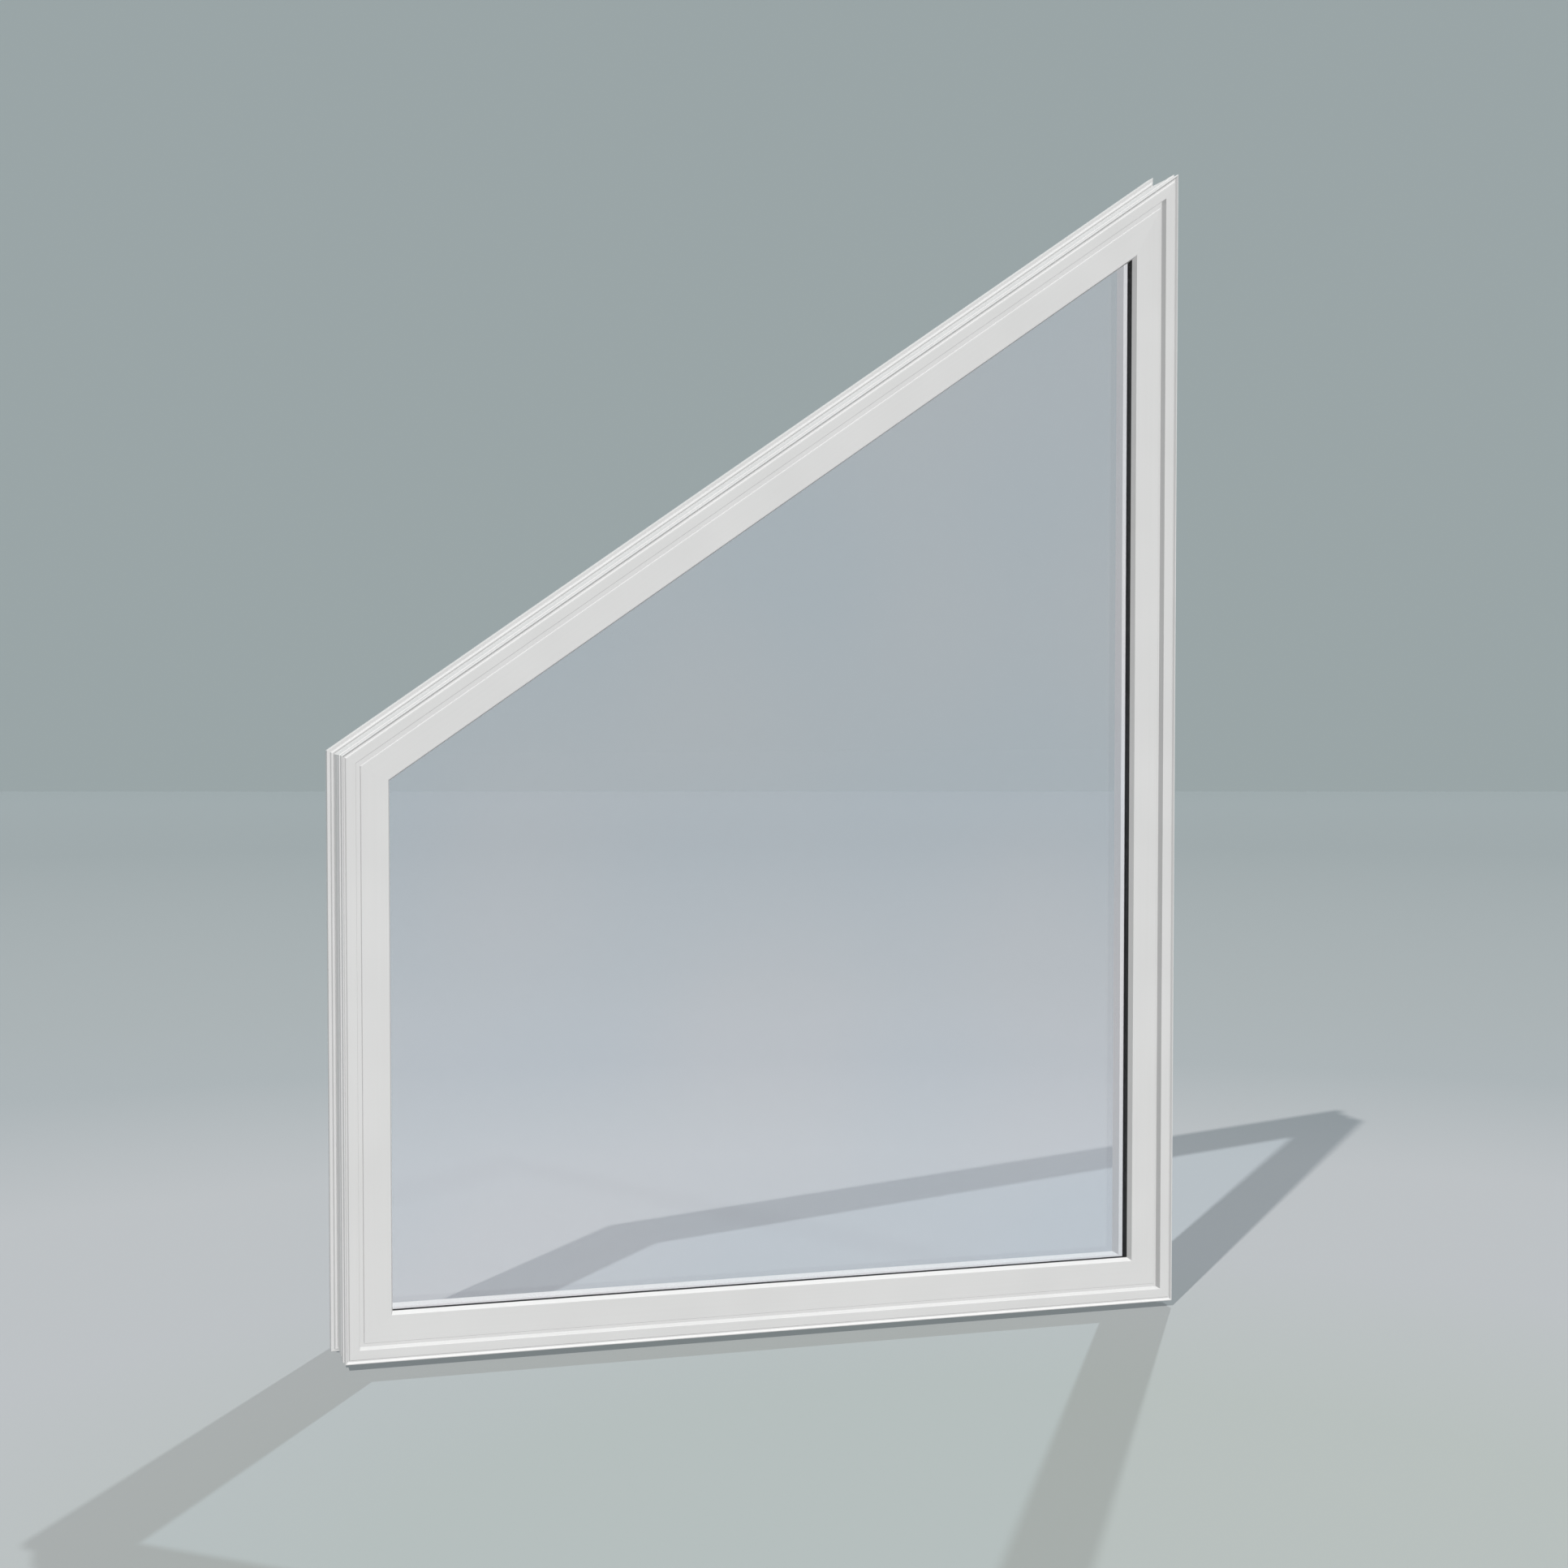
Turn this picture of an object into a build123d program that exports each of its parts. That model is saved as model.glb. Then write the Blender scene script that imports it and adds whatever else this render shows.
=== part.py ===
from build123d import *
import os

os.makedirs("parts", exist_ok=True)

# Fixed trapezoid window with a raked head, seen from the front with +X to the right,
# +Y away from the viewer and +Z up. All sizes are in millimetres.
# The origin is on the front face of the rear flange, half way along the sill.
# In each section, inset is measured inwards from the outline over the front lip,
# and depth is measured backwards from the front face of the frame.

# Outline over the front lip
frame_width = 1008.0
short_height = 680.0
tall_height = 1380.0

# Front lip, the round bead along the outer edge, and the groove beside it
lip_width = 1.2
lip_outer_round = 0.6
lip_inner_round = 0.4
lip_slope = 1.4
groove_width = 1.2
groove_depth = 3.3
groove_slope = 1.2
face_round = 0.6

# Frame section
face_inner_edge = 15.9
edge_round = 0.7
rebate_depth = 12.95
frame_wall = 24.0

# Rib and channel along the outside of the frame
rib_start = 14.5
rib_end = 30.0
rib_proud = 1.5
rib_front_round = 1.2
channel_end = 41.0
channel_inset = 3.0
rear_wall_proud = 0.85
rib_round = 0.3

# Rear flange with the rounded nose in front of it, and the notch between nose and frame
seat_depth = 89.0
flange_proud = 8.0
flange_thickness = 16.0
flange_round = 0.6
nose_proud = 4.5
nose_front_proud = 4.1
nose_length = 8.5
nose_start = 0.9
nose_outer_round = 1.9
nose_inner_round = 1.1
notch_start = 0.6
notch_depth = 1.6

# Fixed sash
sash_inset = 21.5
sash_setback = 4.35
sash_face_width = 30.55
reveal_lean = 2.05
sash_leg = 10.25
sash_fit = 0.3
pocket_inset = 34.0

# Insulated glass unit and what holds it
front_gasket_thickness = 7.9
front_gasket_height = 11.0
pane_thickness = 4.0
cavity = 20.0
glass_inset = 37.0
spacer_height = 9.0
rear_gasket_thickness = 4.0
rear_gasket_height = 6.5
gasket_round = 0.8
bead_length = 20.5
bead_inset = 48.3
bead_round = 0.8

# Places worked out from the sizes above
half_width = frame_width / 2
seat_middle = (flange_proud + nose_proud) / 2
back_depth = seat_depth + flange_thickness
leg_back = sash_setback + sash_leg
reveal_inset = sash_inset + sash_face_width + reveal_lean
front_glass_depth = leg_back + front_gasket_thickness
cavity_depth = front_glass_depth + pane_thickness
rear_glass_depth = cavity_depth + cavity
rear_gasket_depth = rear_glass_depth + pane_thickness
bead_depth = rear_gasket_depth + rear_gasket_thickness
nose_depth = seat_depth - nose_length
groove_floor_start = lip_width + lip_slope
groove_floor_end = groove_floor_start + groove_width
face_outer_edge = groove_floor_end + groove_slope

# Corners of the outline in X and Z, clockwise from the lower right as seen from the front
corners = [
    Vector(half_width, 0, seat_middle),
    Vector(-half_width, 0, seat_middle),
    Vector(-half_width, 0, seat_middle + short_height),
    Vector(half_width, 0, seat_middle + tall_height),
]
run_out = 4 * flange_proud


def side_direction(side):
    """Unit vector along one side, from its first corner to its second."""
    return (corners[(side + 1) % 4] - corners[side % 4]).normalized()


def mitre_plane(corner):
    """Plane through a corner that halves its angle, facing along the outline."""
    normal = side_direction(corner - 1) + side_direction(corner)
    return Plane(origin=corners[corner % 4], x_dir=(0, 1, 0), z_dir=normal)


def section_plane(side):
    """Plane across one side, with inset along its x axis and depth along its y axis."""
    along = side_direction(side)
    inwards = Vector(along.Z, 0, -along.X)
    start = corners[side] - along * run_out - Vector(0, seat_depth, 0)
    return Plane(origin=start, x_dir=inwards, z_dir=along)


def make_ring(section, names):
    """Four mitred members with one section, each written under its own name."""
    points = [(inset, depth) for inset, depth, radius in section]
    radii = [radius for inset, depth, radius in section]
    for side, name in enumerate(names):
        length = (corners[(side + 1) % 4] - corners[side]).length
        with BuildPart() as member:
            with BuildSketch(section_plane(side)):
                with BuildLine():
                    FilletPolyline(*points, radius=radii, close=True)
                make_face()
            extrude(amount=length + 2 * run_out)
            split(bisect_by=mitre_plane(side), keep=Keep.TOP)
            split(bisect_by=-mitre_plane(side + 1), keep=Keep.TOP)
        member.part.label = name
        export_step(member.part, f"parts/{name}.step")


def make_pane(front, name):
    """One sheet of glass whose front face is at the given depth."""
    with BuildPart() as pane:
        with BuildSketch(Plane.XZ.offset(seat_depth - front - pane_thickness)):
            Polygon(*[(corner.X, corner.Z) for corner in corners], align=None)
            offset(amount=-glass_inset, kind=Kind.INTERSECTION, mode=Mode.REPLACE)
        extrude(amount=pane_thickness)
    pane.part.label = name
    export_step(pane.part, f"parts/{name}.step")


# Each section lists its corners as inset, depth and corner radius

# Frame: lip, groove, face, rebate, inner wall, then the channel and rib on the outside
frame_section = [
    (0, 0, lip_outer_round),
    (lip_width, 0, lip_inner_round),
    (groove_floor_start, groove_depth, 0),
    (groove_floor_end, groove_depth, 0),
    (face_outer_edge, 0, face_round),
    (face_inner_edge, 0, edge_round),
    (face_inner_edge, rebate_depth, 0),
    (frame_wall, rebate_depth, 0),
    (frame_wall, nose_depth, 0),
    (-rear_wall_proud, nose_depth, 0),
    (-rear_wall_proud, channel_end, rib_round),
    (channel_inset, channel_end, 0),
    (channel_inset, rib_end, 0),
    (-rib_proud, rib_end, rib_round),
    (-rib_proud, rib_start, rib_front_round),
    (0, rib_start, 0),
]
make_ring(frame_section, ["frame_sill", "frame_left_jamb", "frame_head", "frame_right_jamb"])

# Rear flange: notch, rounded nose, step back to the seat, outer edge and back face
flange_section = [
    (frame_wall, nose_depth, 0),
    (-notch_start, nose_depth, 0),
    (-notch_start, nose_depth + notch_depth, 0),
    (-nose_start, nose_depth + notch_depth, 0),
    (-nose_start, nose_depth, nose_inner_round),
    (-nose_front_proud, nose_depth, nose_outer_round),
    (-nose_proud, seat_depth, 0),
    (-flange_proud, seat_depth, flange_round),
    (-flange_proud, back_depth, flange_round),
    (frame_wall, back_depth, flange_round),
]
make_ring(flange_section, ["flange_sill", "flange_left", "flange_head", "flange_right"])

# Fixed sash: front face, leaning reveal, leg over the glass and pocket for the glass unit
sash_section = [
    (sash_inset, sash_setback, edge_round),
    (sash_inset + sash_face_width, sash_setback, edge_round),
    (reveal_inset, leg_back, 0),
    (pocket_inset, leg_back, 0),
    (pocket_inset, bead_depth, 0),
    (frame_wall + sash_fit, bead_depth, 0),
    (frame_wall + sash_fit, rebate_depth, 0),
    (sash_inset, rebate_depth, 0),
]
make_ring(sash_section, ["sash_bottom_rail", "sash_left_stile", "sash_top_rail", "sash_right_stile"])

# Front gasket: black strip between the sash leg and the front pane
front_gasket_section = [
    (reveal_inset - front_gasket_height, leg_back, 0),
    (reveal_inset, leg_back, 0),
    (reveal_inset, front_glass_depth, gasket_round),
    (reveal_inset - front_gasket_height, front_glass_depth, 0),
]
front_gasket_names = [
    "front_gasket_bottom",
    "front_gasket_left",
    "front_gasket_top",
    "front_gasket_right",
]
make_ring(front_gasket_section, front_gasket_names)

# Insulated glass unit: two panes parted by a spacer bar
make_pane(front_glass_depth, "front_pane")
make_pane(rear_glass_depth, "rear_pane")
spacer_section = [
    (glass_inset, cavity_depth, 0),
    (glass_inset + spacer_height, cavity_depth, 0),
    (glass_inset + spacer_height, rear_glass_depth, 0),
    (glass_inset, rear_glass_depth, 0),
]
make_ring(spacer_section, ["spacer_bottom", "spacer_left", "spacer_top", "spacer_right"])

# Rear gasket: black strip between the rear pane and the glazing bead
rear_gasket_section = [
    (glass_inset, rear_gasket_depth, 0),
    (glass_inset + rear_gasket_height, rear_gasket_depth, 0),
    (glass_inset + rear_gasket_height, bead_depth, 0),
    (glass_inset, bead_depth, 0),
]
rear_gasket_names = [
    "rear_gasket_bottom",
    "rear_gasket_left",
    "rear_gasket_top",
    "rear_gasket_right",
]
make_ring(rear_gasket_section, rear_gasket_names)

# Rear glazing bead: white strip that holds the glass unit in its pocket
bead_section = [
    (frame_wall + sash_fit, bead_depth, 0),
    (bead_inset, bead_depth, 0),
    (bead_inset, bead_depth + bead_length, bead_round),
    (frame_wall + sash_fit, bead_depth + bead_length, 0),
]
make_ring(bead_section, ["rear_bead_bottom", "rear_bead_left", "rear_bead_top", "rear_bead_right"])
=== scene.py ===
import math

import bpy
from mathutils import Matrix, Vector


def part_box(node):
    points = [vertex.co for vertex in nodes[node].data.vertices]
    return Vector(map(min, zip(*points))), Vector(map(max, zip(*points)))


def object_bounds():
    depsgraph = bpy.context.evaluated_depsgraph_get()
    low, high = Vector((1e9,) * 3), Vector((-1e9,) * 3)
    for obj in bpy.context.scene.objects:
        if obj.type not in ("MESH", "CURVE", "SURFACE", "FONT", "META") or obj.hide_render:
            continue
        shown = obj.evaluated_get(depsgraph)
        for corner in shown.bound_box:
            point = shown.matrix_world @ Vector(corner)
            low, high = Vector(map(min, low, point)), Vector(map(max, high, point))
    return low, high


# Fixed trapezoid window in white extruded vinyl, with black seals and double glazing.
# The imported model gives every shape, so this script gives the finishes, the light and the camera.
# X runs to the right, Y away from the viewer and Z up, in metres.

print("stage: load the packed model")
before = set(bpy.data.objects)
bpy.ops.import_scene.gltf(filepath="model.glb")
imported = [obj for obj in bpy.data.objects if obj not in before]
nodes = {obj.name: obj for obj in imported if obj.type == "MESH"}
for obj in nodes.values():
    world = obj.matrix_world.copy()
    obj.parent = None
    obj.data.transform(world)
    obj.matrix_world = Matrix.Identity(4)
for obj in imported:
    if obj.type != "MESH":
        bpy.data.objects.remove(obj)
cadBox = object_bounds()
scene = bpy.context.scene
scene.view_settings.view_transform = "Standard"


def linear(hexColour):
    # sRGB hex to the linear values that the shaders want
    values = [int(hexColour[i:i + 2], 16) / 255 for i in (1, 3, 5)]
    return [v / 12.92 if v <= 0.04045 else ((v + 0.055) / 1.055) ** 2.4 for v in values] + [1.0]


def addNode(tree, kind, settings=None, inputs=None):
    # adds one node, with its settings and with each input set to a value or linked to an output
    node = tree.nodes.new(kind)
    for name, value in (settings or {}).items():
        setattr(node, name, value)
    for key, value in (inputs or {}).items():
        if isinstance(value, bpy.types.NodeSocket):
            tree.links.new(value, node.inputs[key])
        else:
            node.inputs[key].default_value = value
    return node


def startMaterial(name):
    material = bpy.data.materials.new(name)
    material.use_nodes = True
    material.node_tree.nodes.clear()
    return material, material.node_tree


def setStops(rampNode, stops):
    # a colour ramp's stops, each a place and a hex colour
    stops = list(stops)
    elements = rampNode.color_ramp.elements
    while len(elements) > 1:
        elements.remove(elements[-1])
    elements[0].position, elements[0].color = stops[0][0], linear(stops[0][1])
    for place, hexColour in stops[1:]:
        elements.new(place).color = linear(hexColour)


def fineness(mm):
    # noise scale for features of that size, with coordinates in metres
    return 1000 / mm


noiseRange = (0.3, 0.7)      # almost all of a noise lies within it


def relief(tree, height, depthMm, under=None):
    # a bump of that depth, laid over another one where it is given
    inputs = {"Height": height, "Strength": 1.0, "Distance": depthMm / 1000}
    if under is not None:
        inputs["Normal"] = under
    return addNode(tree, "ShaderNodeBump", None, inputs).outputs["Normal"]


def roughnessFrom(tree, noise, limits):
    # roughness that follows a noise from one limit to the other
    spread = addNode(tree, "ShaderNodeMapRange", None,
                     {"Value": noise, "From Min": noiseRange[0], "From Max": noiseRange[1],
                      "To Min": limits[0], "To Max": limits[1]})
    return spread.outputs[0]


def finishSurface(tree, inputs):
    # the material's one Principled surface, linked to its output
    surface = addNode(tree, "ShaderNodeBsdfPrincipled", None, inputs)
    addNode(tree, "ShaderNodeOutputMaterial", None, {"Surface": surface.outputs["BSDF"]})


# Extruded profiles run three ways, and a node's name ends in a word that says which.
# Each turn lays a run's length along the X axis of its pattern.
headAngle = math.atan2(
    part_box("frame_head")[1].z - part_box("frame_left_jamb")[1].z,
    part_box("frame_head")[1].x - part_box("frame_left_jamb")[0].x,
)
runs = {
    "sill": {"turn": 0.0, "ends": ("sill", "bottom", "bottom_rail")},
    "jamb": {"turn": math.radians(90), "ends": ("jamb", "left", "right", "stile")},
    "head": {"turn": headAngle, "ends": ("head", "top", "top_rail")},
}


def runCoordinates(tree, run):
    # coordinates whose X lies along the extruded length, in metres
    place = addNode(tree, "ShaderNodeTexCoord")
    turned = addNode(tree, "ShaderNodeMapping", {"vector_type": "POINT"},
                     {"Vector": place.outputs["Object"], "Rotation": (0, runs[run]["turn"], 0)})
    return turned.outputs["Vector"]


def drawnOut(tree, along, acrossMm, lengthMm):
    # the same coordinates scaled so that a noise of scale 1 makes lines of that spacing and length
    scale = (fineness(lengthMm), fineness(acrossMm), fineness(acrossMm))
    stretched = addNode(tree, "ShaderNodeVectorMath", {"operation": "MULTIPLY"}, {0: along, 1: scale})
    return stretched.outputs[0]


# Extruded uPVC: drawn hot through a polished steel die and cooled in a calibrator.
# That leaves a satin skin with faint lines along the length, where the die dragged.
vinyl = {
    "name": "extruded uPVC",
    "colour": "#E4E4E3",
    "shade": "#DFDFDE",
    "toneRange": (0.4, 1.0),     # how much pattern gives the shade, and how much the colour
    "roughness": (0.30, 0.40),
    "ior": 1.53,
    "dieLineMm": 2.5,            # real ones are about 0.3 mm apart, drawn coarser so that they show
    "dieLineLengthMm": 400,
    "dieLineDepthMm": 0.01,
    "dieLineTone": 0.5,          # the lines' part in the colour, against 1 for the waves
    "waveMm": 90,                # slow waves left by the cooling
    "waveDepthMm": 0.01,
}
# The glazing beads get a lighter copy of the vinyl, which is painted light: it keeps them, deep behind
# both panes, as light as the faces in front.
paintedLightBeadVinyl = dict(vinyl, name="extruded uPVC bead, painted lighter", colour="#F3F3F2", shade="#EEEEED")


def extrudedVinyl(facts, run):
    material, tree = startMaterial(facts["name"] + ", " + run + " run")
    along = runCoordinates(tree, run)
    lines = drawnOut(tree, along, facts["dieLineMm"], facts["dieLineLengthMm"])
    dieLines = addNode(tree, "ShaderNodeTexNoise", None,
                       {"Vector": lines, "Scale": 1.0, "Detail": 3.0, "Roughness": 0.6})
    waves = addNode(tree, "ShaderNodeTexNoise", None,
                    {"Vector": along, "Scale": fineness(facts["waveMm"]), "Detail": 1.0})
    tone = addNode(tree, "ShaderNodeMath", {"operation": "MULTIPLY_ADD"},
                   {0: dieLines.outputs["Fac"], 1: facts["dieLineTone"], 2: waves.outputs["Fac"]})
    ramp = addNode(tree, "ShaderNodeValToRGB", None, {"Fac": tone.outputs[0]})
    setStops(ramp, zip(facts["toneRange"], (facts["shade"], facts["colour"])))
    rough = roughnessFrom(tree, dieLines.outputs["Fac"], facts["roughness"])
    swells = relief(tree, waves.outputs["Fac"], facts["waveDepthMm"])
    bumps = relief(tree, dieLines.outputs["Fac"], facts["dieLineDepthMm"], under=swells)
    finishSurface(tree, {"Base Color": ramp.outputs["Color"], "Roughness": rough,
                         "IOR": facts["ior"], "Normal": bumps})
    return material


# EPDM rubber: extruded and cured, with talc and bloom on it.
# It looks dull black, a little greyer on its crests, with a soft pebbled skin.
rubber = {
    "name": "EPDM rubber",
    "colour": "#1E1E1F",
    "bloom": "#2A2A2B",
    "toneRange": (0.35, 0.75),   # how much pattern gives the colour, and how much the bloom
    "roughness": (0.55, 0.75),
    "ior": 1.5,
    "mirror": 0.35,              # specular level: the bloom mirrors less than bare rubber at 0.5
    "grainMm": 1.2,              # the real skin's grain is near 0.1 mm, drawn coarser so that it shows
    "grainDepthMm": 0.04,
    "drawLineMm": 1.6,
    "drawLineLengthMm": 150,
}


def epdmRubber(facts, run):
    material, tree = startMaterial(facts["name"] + ", " + run + " run")
    along = runCoordinates(tree, run)
    lines = drawnOut(tree, along, facts["drawLineMm"], facts["drawLineLengthMm"])
    drawLines = addNode(tree, "ShaderNodeTexNoise", None, {"Vector": lines, "Scale": 1.0, "Detail": 2.0})
    grain = addNode(tree, "ShaderNodeTexNoise", None,
                    {"Vector": along, "Scale": fineness(facts["grainMm"]),
                     "Detail": 3.0, "Roughness": 0.65})
    skinHeight = addNode(tree, "ShaderNodeMath", {"operation": "ADD"},
                         {0: drawLines.outputs["Fac"], 1: grain.outputs["Fac"]})
    ramp = addNode(tree, "ShaderNodeValToRGB", None, {"Fac": drawLines.outputs["Fac"]})
    setStops(ramp, zip(facts["toneRange"], (facts["colour"], facts["bloom"])))
    rough = roughnessFrom(tree, grain.outputs["Fac"], facts["roughness"])
    bumps = relief(tree, skinHeight.outputs[0], facts["grainDepthMm"])
    finishSurface(tree, {"Base Color": ramp.outputs["Color"], "Roughness": rough, "IOR": facts["ior"],
                         "Specular IOR Level": facts["mirror"], "Normal": bumps})
    return material


# Silicone foam spacer, the warm edge kind: cut from foam sheet filled with drying powder.
# Its face is matt black with fine open pores, and the darker colour in each pore's middle is painted shade
# in its hollow.
foamSpacer = {
    "name": "silicone foam spacer",
    "colour": "#242426",
    "pore": "#19191A",
    "toneRange": (0.1, 0.45),    # how far from a pore's middle its painted shade ends, and the foam's colour starts
    "roughness": (0.95, 0.85),   # in a pore's middle, and away from it
    "poreReach": 0.6,            # how far from its middle a pore still roughens the face
    "ior": 1.43,
    "poreMm": 1.0,               # real pores are about 0.2 mm, drawn coarser so that they show
    "poreDepthMm": 0.05,
}


def siliconeFoam(facts, run):
    material, tree = startMaterial(facts["name"] + ", " + run + " run")
    along = runCoordinates(tree, run)
    pores = addNode(tree, "ShaderNodeTexVoronoi", {"feature": "F1"},
                    {"Vector": along, "Scale": fineness(facts["poreMm"])})
    ramp = addNode(tree, "ShaderNodeValToRGB", None, {"Fac": pores.outputs["Distance"]})
    setStops(ramp, zip(facts["toneRange"], (facts["pore"], facts["colour"])))
    rough = addNode(tree, "ShaderNodeMapRange", None,
                    {"Value": pores.outputs["Distance"], "From Max": facts["poreReach"],
                     "To Min": facts["roughness"][0], "To Max": facts["roughness"][1]})
    bumps = relief(tree, pores.outputs["Distance"], facts["poreDepthMm"])
    finishSurface(tree, {"Base Color": ramp.outputs["Color"], "Roughness": rough.outputs[0],
                         "IOR": facts["ior"], "Normal": bumps})
    return material


# Float glass: floated on molten tin, so both faces are fire polished and almost flat.
# The outer pane is clear. The inner pane has a hard coating that keeps heat in,
# and a faint cool diffuse layer on it is painted reflection, standing in for the bright studio mirrored in
# the panes.
clearGlass = {
    "name": "float glass, clear",
    "tint": ("#FDFEFF", "#FAFDFF"),
    "ior": 1.52,
    "mirror": 0.15,              # specular level: 0.5 is bare glass, and less keeps the view through plain
    "paintedReflection": 0.0,                 # share of painted reflection, a diffuse layer, at each face
    "paintedReflectionColour": "#F5EEF7",
    "rollerWaveMm": 260,         # slow waves of the drawn ribbon
    "rollerWaveDepthMm": 0.001,
}
coatedGlass = dict(clearGlass, name="float glass, hard coated", mirror=0.2, paintedReflection=0.105)


def floatGlass(facts, run):
    # a sheet has no run, so its pattern lies square to the frame
    material, tree = startMaterial(facts["name"])
    place = addNode(tree, "ShaderNodeTexCoord")
    waves = addNode(tree, "ShaderNodeTexNoise", None,
                    {"Vector": place.outputs["Object"],
                     "Scale": fineness(facts["rollerWaveMm"]), "Detail": 0.0})
    ramp = addNode(tree, "ShaderNodeValToRGB", None, {"Fac": waves.outputs["Fac"]})
    setStops(ramp, zip(noiseRange, facts["tint"]))
    bumps = relief(tree, waves.outputs["Fac"], facts["rollerWaveDepthMm"])
    pane = addNode(tree, "ShaderNodeBsdfPrincipled", None,
                   {"Base Color": ramp.outputs["Color"], "Roughness": 0.0, "IOR": facts["ior"],
                    "Specular IOR Level": facts["mirror"], "Transmission Weight": 1.0,
                    "Normal": bumps})
    body = pane.outputs["BSDF"]
    # The diffuse layer is painted reflection: it lightens the inner pane as a mirrored bright studio
    # would.
    if facts["paintedReflection"]:
        paintedReflection = addNode(tree, "ShaderNodeBsdfDiffuse", None, {"Color": linear(facts["paintedReflectionColour"])})
        body = addNode(tree, "ShaderNodeMixShader", None,
                       {0: facts["paintedReflection"], 1: body, 2: paintedReflection.outputs["BSDF"]}).outputs["Shader"]
    clear = addNode(tree, "ShaderNodeBsdfTransparent", None, {"Color": linear(facts["tint"][1])})
    rays = addNode(tree, "ShaderNodeLightPath")
    surface = addNode(tree, "ShaderNodeMixShader", None,
                      {0: rays.outputs["Is Shadow Ray"], 1: body, 2: clear.outputs["BSDF"]})
    addNode(tree, "ShaderNodeOutputMaterial", None, {"Surface": surface.outputs["Shader"]})
    return material


print("stage: finishes")
finishes = {                  # by how a node's name starts
    "frame": (extrudedVinyl, vinyl),
    "flange": (extrudedVinyl, vinyl),
    "sash": (extrudedVinyl, vinyl),
    "rear_bead": (extrudedVinyl, paintedLightBeadVinyl),
    "front_gasket": (epdmRubber, rubber),
    "rear_gasket": (epdmRubber, rubber),
    "spacer": (siliconeFoam, foamSpacer),
    "front_pane": (floatGlass, clearGlass),
    "rear_pane": (floatGlass, coatedGlass),
}
made = {}
for name, node in nodes.items():
    finish, facts = next(f for start, f in finishes.items() if name.startswith(start))
    run = next((r for r, places in runs.items() if name.endswith(places["ends"])), "sheet")
    key = facts["name"] + " " + run
    if key not in made:
        made[key] = finish(facts, run)
    node.material_slots[0].material = made[key]
print("materials:", sorted(m.name for m in made.values()))


# Stage: a pale matt floor that the window stands on, and a plain backdrop far behind it
stage = {
    "paintedLightCentre": (0.0, -0.9, 0.0),
    "paintedFloorLightColours": [             # painted light, lighter around the centre and darker far off: each colour from its distance to the centre on, in metres
        (0.6, "#A6B0B0"),
        (1.2, "#ABB2B7"),
        (1.9, "#ABB2B7"),
        (2.9, "#9CA6AB"),
        (3.9, "#9AA4A8"),
        (9.9, "#8F9A9E"),
    ],
    "floorRoughness": 0.9,
    "floorMirror": 0.1,           # specular level
    "floorSize": 60.0,
    "backdrop": "#AABBC0",
    "backdropDistance": 18.9,     # metres from the camera
    "backdropHeight": 9.0,
}

# Camera: the photograph's place and angle, solved from the frame's edges
camera = {
    "place": (-0.7448, -2.6784, 0.7484),
    "turn": 16.150,              # degrees from +Y towards +X
    "tilt": -2.087,              # degrees, down
    "lens": 53.106,              # mm
    "sensor": 36.0,              # mm wide
    "farthest": 100.0,           # metres that it sees
}

print("stage: camera")
cameraData = bpy.data.cameras.new("camera")
cameraData.lens = camera["lens"]
cameraData.sensor_width = camera["sensor"]
cameraData.clip_end = camera["farthest"]
cameraObject = bpy.data.objects.new("camera", cameraData)
cameraObject.location = camera["place"]
cameraObject.rotation_euler = (math.radians(90 + camera["tilt"]), 0, -math.radians(camera["turn"]))
scene.collection.objects.link(cameraObject)
scene.camera = cameraObject


def sheetMesh(name, corners):
    mesh = bpy.data.meshes.new(name)
    mesh.from_pydata(corners, [], [tuple(range(len(corners)))])
    sheet = bpy.data.objects.new(name, mesh)
    scene.collection.objects.link(sheet)
    return sheet


print("stage: floor and backdrop")
floorLevel = cadBox[0].z
half = stage["floorSize"] / 2
floor = sheetMesh("floor", [(-half, -half, floorLevel), (half, -half, floorLevel),
                            (half, half, floorLevel), (-half, half, floorLevel)])
ahead = Vector((math.sin(math.radians(camera["turn"])), math.cos(math.radians(camera["turn"])), 0))
aside = Vector((ahead.y, -ahead.x, 0))
foot = Vector((camera["place"][0], camera["place"][1], floorLevel)) + ahead * stage["backdropDistance"]
rise = Vector((0, 0, stage["backdropHeight"]))
backdrop = sheetMesh("backdrop", [foot - aside * half, foot + aside * half,
                                  foot + aside * half + rise, foot - aside * half + rise])

# Rolled matt paint: its fine texture scatters light evenly, so the floor shows almost no gloss.
floorMaterial, tree = startMaterial("matt painted floor")
place = addNode(tree, "ShaderNodeTexCoord")
# The floor is painted lighter near the centre and darker away from it: a painted pool of light.
distance = addNode(tree, "ShaderNodeVectorMath", {"operation": "DISTANCE"},
                   {0: place.outputs["Object"], 1: stage["paintedLightCentre"]})
nearest, farthest = stage["paintedFloorLightColours"][0][0], stage["paintedFloorLightColours"][-1][0]
fade = addNode(tree, "ShaderNodeMapRange", None,
               {"Value": distance.outputs["Value"], "From Min": nearest, "From Max": farthest})
ramp = addNode(tree, "ShaderNodeValToRGB", None, {"Fac": fade.outputs[0]})
setStops(ramp, [((d - nearest) / (farthest - nearest), colour) for d, colour in stage["paintedFloorLightColours"]])
finishSurface(tree, {"Base Color": ramp.outputs["Color"], "Roughness": stage["floorRoughness"],
                     "Specular IOR Level": stage["floorMirror"]})
floor.data.materials.append(floorMaterial)
floor.visible_diffuse = False    # the lamps alone set the window's tones
backdrop.visible_shadow = False  # so that the lamps behind it still reach the floor

# Paper dyed in the pulp: one even colour with no gloss at all.
backdropMaterial, tree = startMaterial("matt paper backdrop")
finishSurface(tree, {"Base Color": linear(stage["backdrop"]), "Roughness": 1.0, "Specular IOR Level": 0.0})
backdrop.data.materials.append(backdropMaterial)


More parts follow.
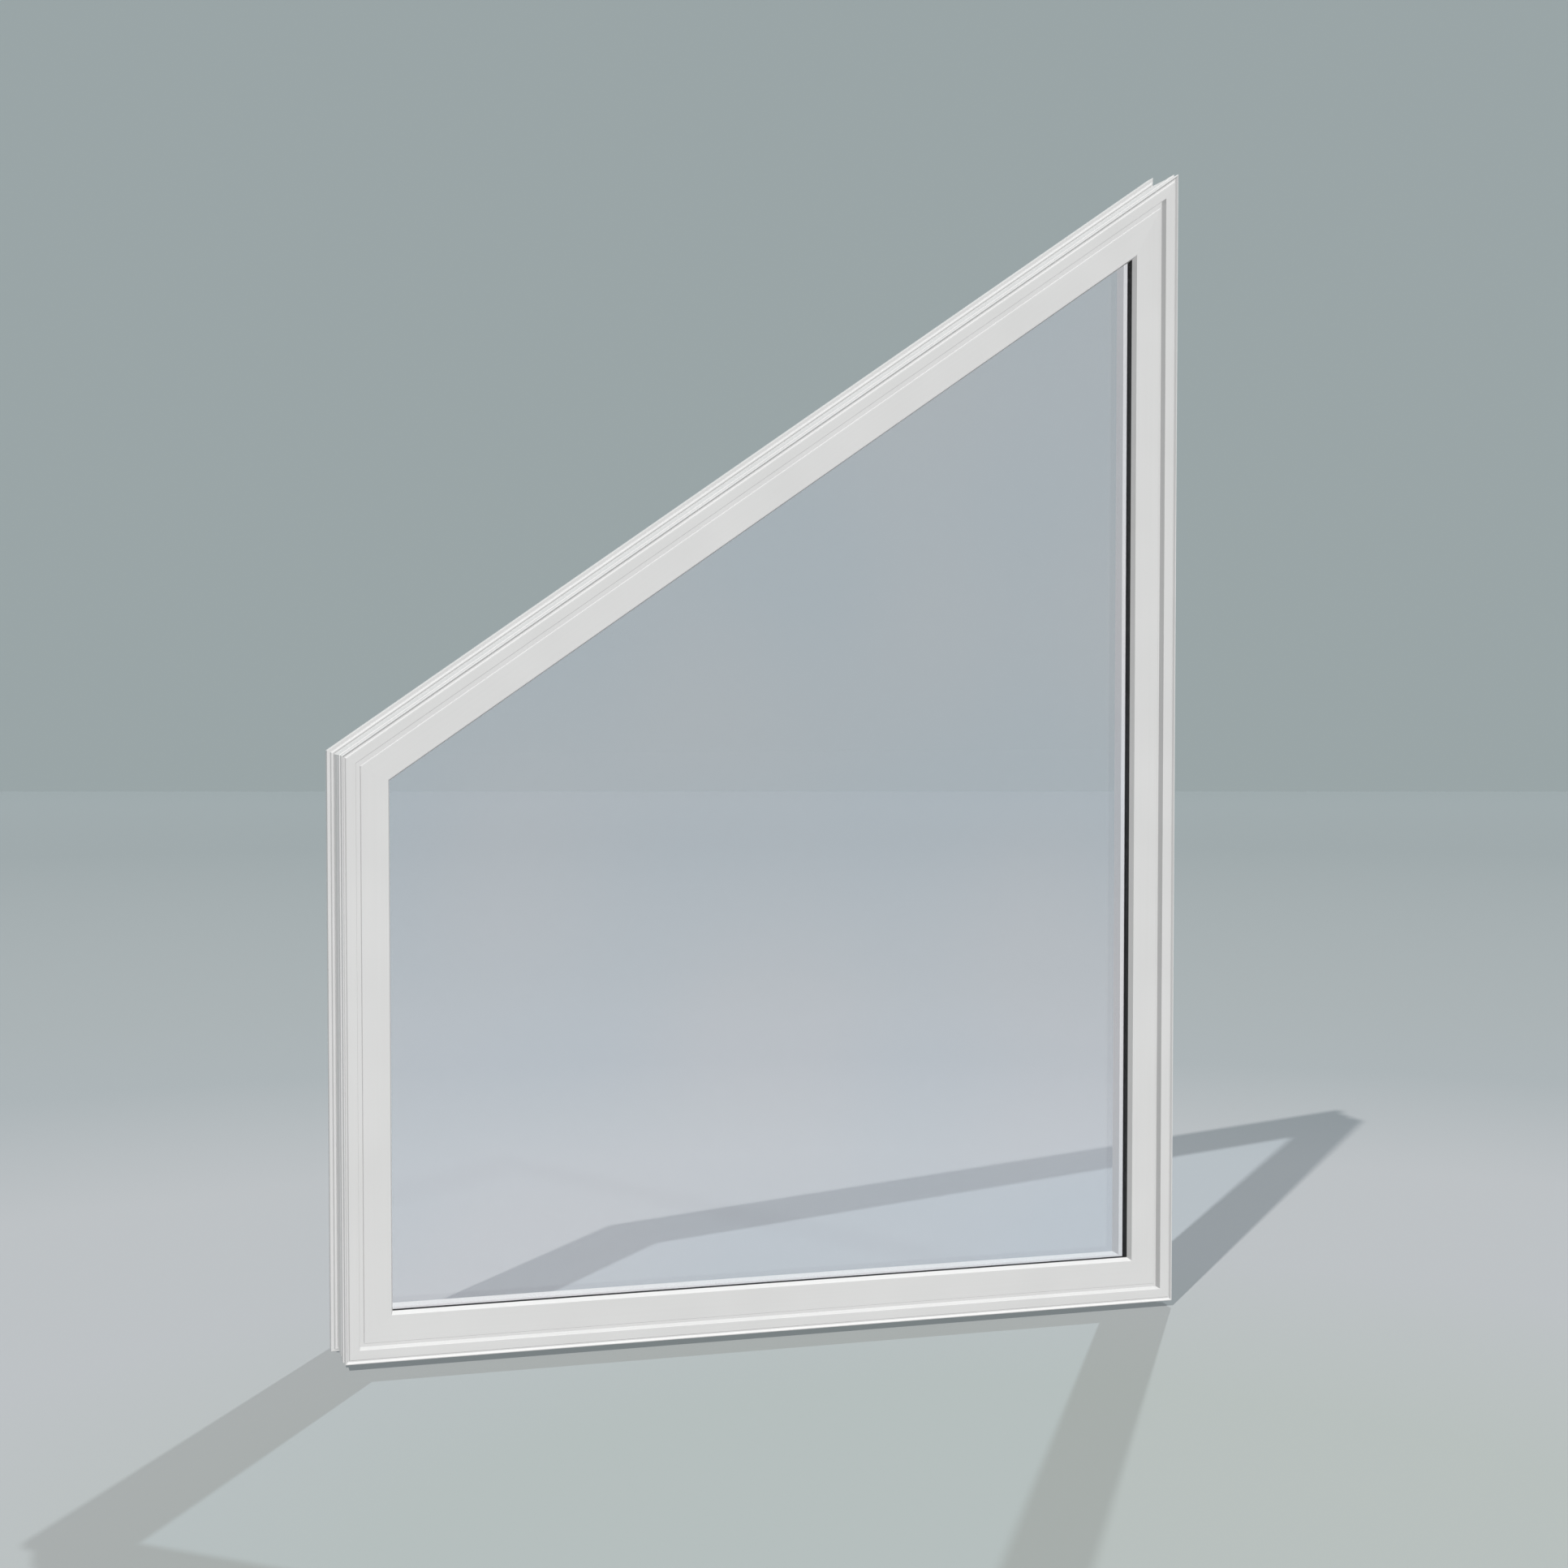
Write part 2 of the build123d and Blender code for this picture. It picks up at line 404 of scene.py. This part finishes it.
# Light: distant lamps, so that the window is lit evenly from foot to tip.
# from is where the light comes from, level is how bright a white face square to it gets,
# and width is the lamp's size as seen from the window, in degrees.
# Wide soft lamps light the window and throw no shadow, as in the photograph, and only the key shows
# in gloss, because the others would flare on flat faces.
# Two narrow lamps throw the window's shadows on the floor, and a very wide one fills them.
lamps = {
    "window key": {"from": (-0.60, -0.50, 0.62), "level": 0.39, "width": 40.0, "lights": "window",
                   "gloss": True},
    "window front": {"from": (0.10, -1.0, 0.10), "level": 0.505, "width": 40.0, "lights": "window"},
    "window top": {"from": (0.0, 0.0, 1.0), "level": 0.50, "width": 40.0, "lights": "window"},
    "window back": {"from": (0.32, 0.59, 0.74), "level": 0.24, "width": 40.0, "lights": "window"},
    "window right": {"from": (1.0, 0.60, 0.0), "level": 0.26, "width": 40.0, "lights": "window"},
    "floor key": {"from": (-0.45, -0.54, 0.71), "level": 0.73, "width": 0.7, "lights": "stage",
                  "shadow": True, "colour": "#FFF3EB"},
    "floor back": {"from": (0.34, 0.59, 0.74), "level": 0.35, "width": 0.7, "lights": "stage",
                   "shadow": True},
    "floor top": {"from": (0.0, -0.5, 1.0), "level": 0.347, "width": 90.0, "lights": "stage"},
}
lampDistance = 6                 # metres, which only keeps the lamps out of the way
world = {
    "seen": "#9BA5A7",           # what the camera, gloss and glass see, as the backdrop
    "light": "#E8E9EA",
    "lightLevel": 0.22,
}

print("stage: light")
for node in nodes.values():
    node.visible_diffuse = False     # narrow rebates and grooves stay as light as the faces beside them
groups = {}
for name, members in (("window", nodes.values()), ("stage", (floor, backdrop))):
    groups[name] = bpy.data.collections.new(name + " group")
    for member in members:
        groups[name].objects.link(member)
for name, lamp in lamps.items():
    lampData = bpy.data.lights.new(name, "SUN")
    lampData.energy = lamp["level"] * math.pi
    lampData.angle = math.radians(lamp["width"])
    lampData.color = linear(lamp.get("colour", "#FFFFFF"))[:3]
    lampData.use_shadow = lamp.get("shadow", False)
    lampObject = bpy.data.objects.new(name, lampData)
    lampObject.rotation_euler = Vector(lamp["from"]).to_track_quat("Z", "Y").to_euler()
    lampObject.location = Vector(lamp["from"]) * lampDistance
    lampObject.visible_transmission = False      # the lamps would show as discs in the glass
    lampObject.visible_glossy = lamp.get("gloss", False)
    lampObject.light_linking.receiver_collection = groups[lamp["lights"]]
    scene.collection.objects.link(lampObject)

# The camera, gloss and glass see a plain sky like the backdrop, and other rays get an even pale light.
sky = bpy.data.worlds.new("studio")
scene.world = sky
sky.use_nodes = True
tree = sky.node_tree
tree.nodes.clear()
lightSky = addNode(tree, "ShaderNodeBackground", None,
                   {"Color": linear(world["light"]), "Strength": world["lightLevel"]})
seenSky = addNode(tree, "ShaderNodeBackground", None, {"Color": linear(world["seen"]), "Strength": 1.0})
rays = addNode(tree, "ShaderNodeLightPath")
cameraOrGloss = addNode(tree, "ShaderNodeMath", {"operation": "MAXIMUM"},
                        {0: rays.outputs["Is Camera Ray"], 1: rays.outputs["Is Glossy Ray"]})
seenRays = addNode(tree, "ShaderNodeMath", {"operation": "MAXIMUM"},
                   {0: cameraOrGloss.outputs[0], 1: rays.outputs["Is Transmission Ray"]})
mixed = addNode(tree, "ShaderNodeMixShader", None,
                {0: seenRays.outputs[0],
                 1: lightSky.outputs["Background"], 2: seenSky.outputs["Background"]})
addNode(tree, "ShaderNodeOutputWorld", None, {"Surface": mixed.outputs["Shader"]})
